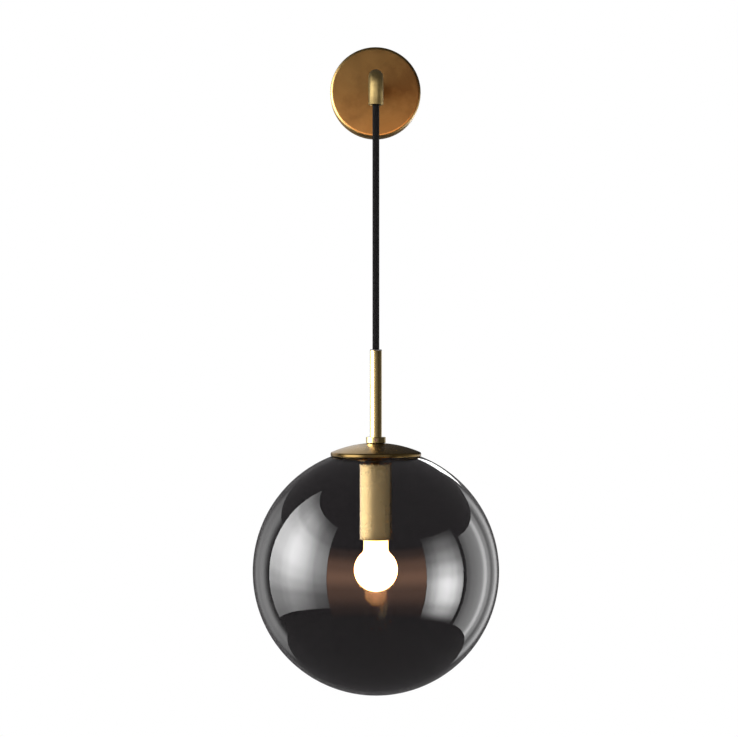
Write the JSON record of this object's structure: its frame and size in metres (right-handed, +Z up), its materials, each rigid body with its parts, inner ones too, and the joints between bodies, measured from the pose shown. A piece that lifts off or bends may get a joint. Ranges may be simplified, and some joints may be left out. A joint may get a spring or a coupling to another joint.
{
  "type": "globe wall sconce",
  "caption": "Glass globe pendant hung on a textile flex from a bent brass arm with a round wall canopy.",
  "frame": {"origin": "on the wall plane, at the centre of the two wall-screw slots behind the canopy", "axes": "+Y into the wall, +Z up, +X to the right as one faces the lamp; the arm points along -Y"},
  "size_m": [0.25, 0.275, 0.6788],
  "materials": {
    "brass_canopy": "brushed, aged, lacquered",
    "brass_arm": "brushed, aged, lacquered",
    "brass_stem": "polished, aged",
    "brass_cap": "spun, aged, lacquered",
    "brass_clip": "rolled sheet, bright",
    "brass_hardware": "turned, bright",
    "zinc_steel": "zinc plated",
    "zinc_screw": "zinc plated",
    "black_nylon": "matt",
    "black_holder": "moulded, satin",
    "white_nylon": "natural nylon",
    "black_textile": "braided textile",
    "core_brown": "cable insulation",
    "core_blue": "cable insulation",
    "core_earth": "cable insulation, green and yellow",
    "smoke_glass": "smoke-grey blown glass, clear",
    "silicone": "translucent silicone",
    "ceramic": "fired, unglazed",
    "opal_glass": "opal, lit",
    "opal_collar": "opal plastic",
    "nickel": "nickel plated",
    "aluminium_board": "plain sheet",
    "solder": "tinned"
  },
  "bodies": {
    "wall_mount": {"wall_bracket": "zinc_steel", "canopy": "brass_canopy", "canopy_screws": "brass_hardware", "arm_tube": "brass_arm", "arm_nipple": "brass_hardware", "arm_lock_washer": "zinc_screw", "arm_lock_nut": "brass_hardware", "arm_cord_grip": "black_nylon", "arm_grub_screw": "zinc_screw", "terminal_block": "white_nylon", "terminal_inserts": "brass_hardware", "terminal_screws": "zinc_screw", "block_screw": "zinc_screw", "flex_in_arm": "black_textile", "earth_screw": "zinc_screw", "earth_washer": "zinc_screw", "live_core_upper": "core_brown", "neutral_core_upper": "core_blue", "earth_core_upper": "core_earth"},
    "cord_top": {"cord_bend_upper": "black_textile"},
    "cord": {"flex_drop": "black_textile"},
    "cord_foot": {"cord_bend_lower": "black_textile"},
    "cord_end": {"flex_in_stem": "black_textile"},
    "pendant": {"stem_bush": "black_nylon", "stem_tube": "brass_stem", "stem_collar": "brass_stem", "collar_grub_screw": "zinc_screw", "pendant_nipple": "brass_hardware", "globe_cap": "brass_cap", "cap_gasket": "silicone", "glass_globe": "smoke_glass", "spring_clip": "brass_clip", "clip_washer": "zinc_screw", "clip_nut": "brass_hardware", "cover_nut": "brass_hardware", "socket_cover": "brass_stem", "lampholder_dome": "black_holder", "lampholder_body": "black_holder", "lampholder_shell": "brass_hardware", "lampholder_insert": "ceramic", "lampholder_contact": "brass_hardware", "holder_terminals": "brass_hardware", "live_core_lower": "core_brown", "neutral_core_lower": "core_blue"},
    "bulb_contact": {"bulb_tip": "solder"},
    "bulb": {"bulb_envelope": "opal_glass", "bulb_collar": "opal_collar", "bulb_board": "aluminium_board", "bulb_screw_cap": "nickel"}
  },
  "joints": [
    {"name": "swing_fore_aft", "type": "hinge", "parent": "wall_mount", "child": "cord_top", "pos_m": [0, -0.15, -0.0272], "axis": [-1, 0, 0], "range_deg": [-1.4, 20]},
    {"name": "swing_sideways", "type": "hinge", "parent": "cord_top", "child": "cord", "pos_m": [0, -0.15, -0.0272], "axis": [0, 1, 0], "range_deg": [-20, 20]},
    {"name": "tilt_fore_aft", "type": "hinge", "parent": "cord", "child": "cord_foot", "pos_m": [0, -0.15, -0.2776], "axis": [-1, 0, 0], "range_deg": [-3, 15]},
    {"name": "tilt_sideways", "type": "hinge", "parent": "cord_foot", "child": "cord_end", "pos_m": [0, -0.15, -0.2776], "axis": [0, 1, 0], "range_deg": [-15, 15]},
    {"name": "cord_twist", "type": "hinge", "parent": "cord_end", "child": "pendant", "pos_m": [0, -0.15, -0.2776], "axis": [0, 0, 1], "range_deg": [-90, 90], "stiffness_Nm_per_rad": 0.02},
    {"name": "bulb_travel", "type": "slide", "parent": "pendant", "child": "bulb_contact", "axis": [0, 0, -1], "range_m": [0, 0.0085]},
    {"name": "bulb_turn", "type": "hinge", "parent": "bulb_contact", "child": "bulb", "pos_m": [0, -0.15, -0.50479], "axis": [0, 0, -1], "range_deg": [0, 1080]}
  ],
  "couplings": [
    {"joint": "bulb_travel", "follows": "bulb_turn", "m_per_rad": 0.00044882}
  ]
}
